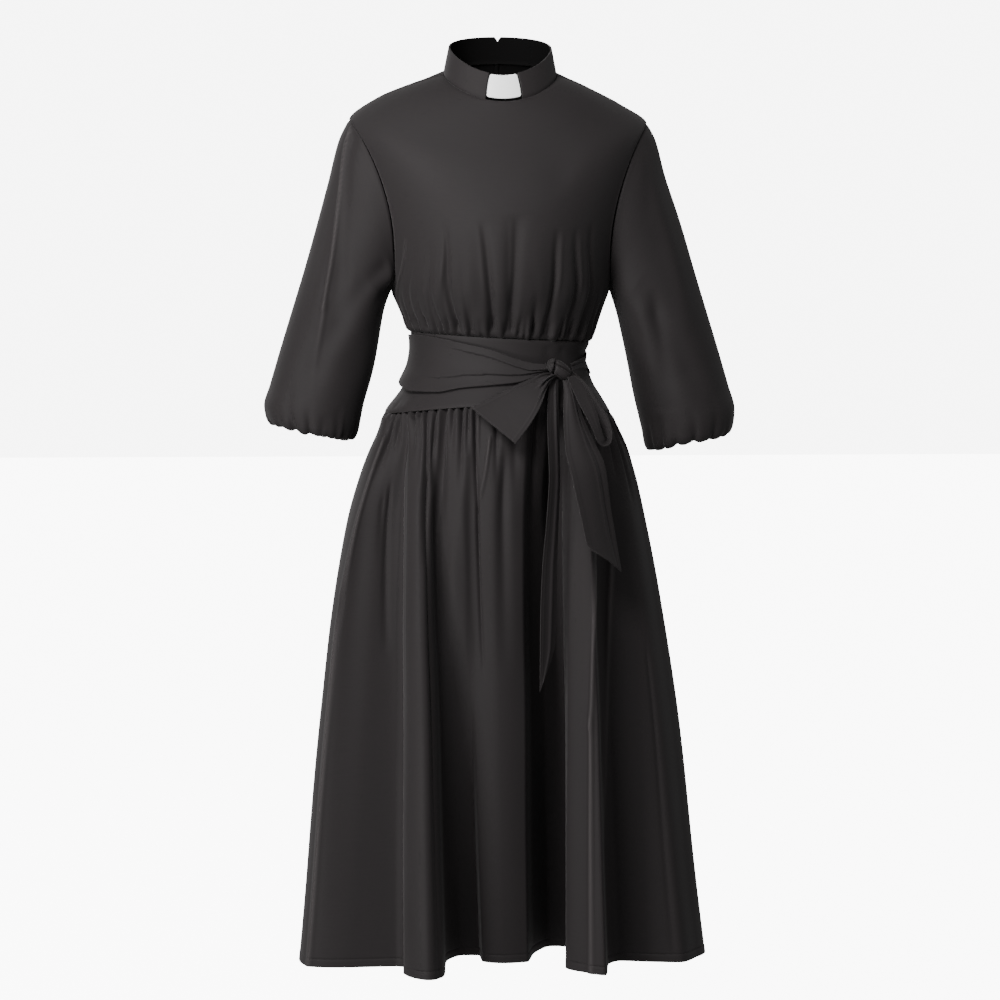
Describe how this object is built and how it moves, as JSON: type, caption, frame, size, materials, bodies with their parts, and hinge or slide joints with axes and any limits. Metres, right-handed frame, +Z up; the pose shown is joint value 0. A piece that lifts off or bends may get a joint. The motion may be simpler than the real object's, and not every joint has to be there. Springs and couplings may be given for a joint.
{
  "type": "clergy dress",
  "caption": "Black midi dress for clergy, filled out as worn: stand collar with a white tab, gathered bodice, full three-quarter sleeves, gathered skirt and a tied sash.",
  "frame": {"origin": "middle of the neck opening at the height of the neck seam, where the wearer's neck and shoulders carry the dress", "axes": "+Z up to the collar's rim, front of the dress faces -Y, the wearer's left is +X"},
  "size_m": [0.6126, 0.4372, 1.1748],
  "materials": {
    "dress_crepe": "soft satin crepe, near black",
    "collar_crepe": "the same crepe, stiffened and topstitched",
    "sash_crepe": "the same crepe, pressed into soft folds",
    "collar_tab": "smooth white"
  },
  "bodies": {
    "root": {"bodice_back_left": "dress_crepe", "bodice_back_right": "dress_crepe", "bodice_front": "dress_crepe", "collar_left": "collar_crepe", "collar_right": "collar_crepe", "collar_tab": "collar_tab", "sash_back": "sash_crepe", "sash_bow_end": "sash_crepe", "sash_knot": "sash_crepe", "sash_loop": "sash_crepe", "sash_strand": "sash_crepe", "sash_tail_narrow": "sash_crepe", "sash_tail_wide": "sash_crepe", "sash_wrap": "sash_crepe", "skirt_back": "dress_crepe", "skirt_front": "dress_crepe", "sleeve_left": "dress_crepe", "sleeve_right": "dress_crepe", "waistband_back": "dress_crepe", "waistband_front": "dress_crepe"}
  },
  "joints": []
}
